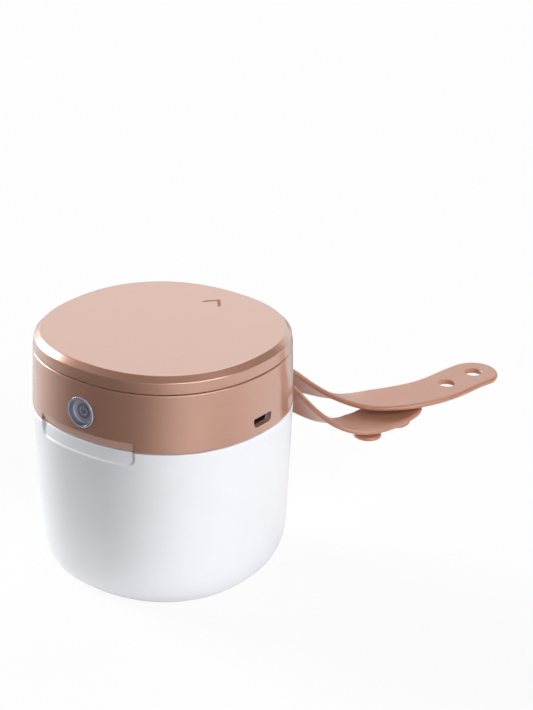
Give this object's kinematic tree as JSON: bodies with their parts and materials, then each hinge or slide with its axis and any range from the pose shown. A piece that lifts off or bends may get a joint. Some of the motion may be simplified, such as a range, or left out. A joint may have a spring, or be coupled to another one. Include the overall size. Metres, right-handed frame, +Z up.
{
  "type": "pacifier sterilizer case",
  "caption": "Portable case that sterilises a pacifier with ultraviolet light: soft-square pot with bright liner, hinged lid with push button and charge socket, and a silicone carrying strap.",
  "frame": {"origin": "centre of the foot pad's underside, on the table", "axes": "+Z up, the push button and finger scoop face -Y, the charge socket faces +X, the hinge and the strap's pin are at +Y"},
  "size_m": [0.103, 0.1478, 0.0814],
  "materials": {
    "white_shell": "smooth satin white",
    "bright_liner": "polished, reflects the lamps' light",
    "grey_rubber": "matt silicone",
    "plated_steel": "nickel plated",
    "blush_shell": "pearl blush, satin",
    "quartz": "clear",
    "lamp_body": "ceramic with a clear lens",
    "circuit_board": "green solder mask",
    "black_plastic": "moulded black",
    "white_plastic": "moulded white",
    "smoke_plastic": "smoky grey-blue, lets light through",
    "ring_plastic": "pale lavender, lets light through",
    "battery_foil": "foil pouch",
    "foam": "double-sided foam tape",
    "red_lead": "insulated wire",
    "black_lead": "insulated wire",
    "blush_silicone": "satin silicone"
  },
  "bodies": {
    "pot": {"pot_shell": "white_shell", "chamber_liner": "bright_liner", "foot_pad": "grey_rubber", "pot_magnet": "plated_steel", "strap_pin": "plated_steel", "hinge_pin": "plated_steel"},
    "lid": {"lid_band": "blush_shell", "top_cap": "blush_shell", "inner_cover": "white_shell", "rim_seal": "grey_rubber", "lid_magnet": "plated_steel", "cover_screw_1": "plated_steel", "cover_screw_2": "plated_steel", "cover_screw_3": "plated_steel", "cover_screw_4": "plated_steel", "lamp_window": "quartz", "window_gasket": "grey_rubber", "uv_lamp_1": "lamp_body", "uv_lamp_2": "lamp_body", "main_board": "circuit_board", "lid_sensor": "black_plastic", "socket_shell": "plated_steel", "socket_tongue": "black_plastic", "switch_body": "black_plastic", "status_lamp_1": "lamp_body", "status_lamp_2": "lamp_body", "light_ring": "ring_plastic", "battery_cell": "battery_foil", "battery_pad": "foam", "battery_plug": "white_plastic", "battery_lead_red": "red_lead", "battery_lead_black": "black_lead"},
    "button": {"power_button": "smoke_plastic"},
    "plunger": {"switch_plunger": "white_plastic"},
    "strap": {"strap": "blush_silicone"}
  },
  "joints": [
    {"name": "lid_hinge", "type": "hinge", "parent": "pot", "child": "lid", "pos_m": [0, 0.0416, 0.0575], "axis": [-1, 0, 0], "range_deg": [0, 100]},
    {"name": "button_press", "type": "slide", "parent": "lid", "child": "button", "axis": [0, 1, 0], "range_m": [0, 0.0006], "stiffness_N_per_m": 800, "springref_m": -0.0008},
    {"name": "plunger_press", "type": "slide", "parent": "lid", "child": "plunger", "axis": [0, 1, 0], "range_m": [0, 0.0008]},
    {"name": "strap_swing", "type": "hinge", "parent": "pot", "child": "strap", "pos_m": [0, 0.0442, 0.04935], "axis": [0, 0, 1], "range_deg": [0, 100]}
  ],
  "couplings": [
    {"joint": "plunger_press", "follows": "button_press", "ratio": 1}
  ]
}
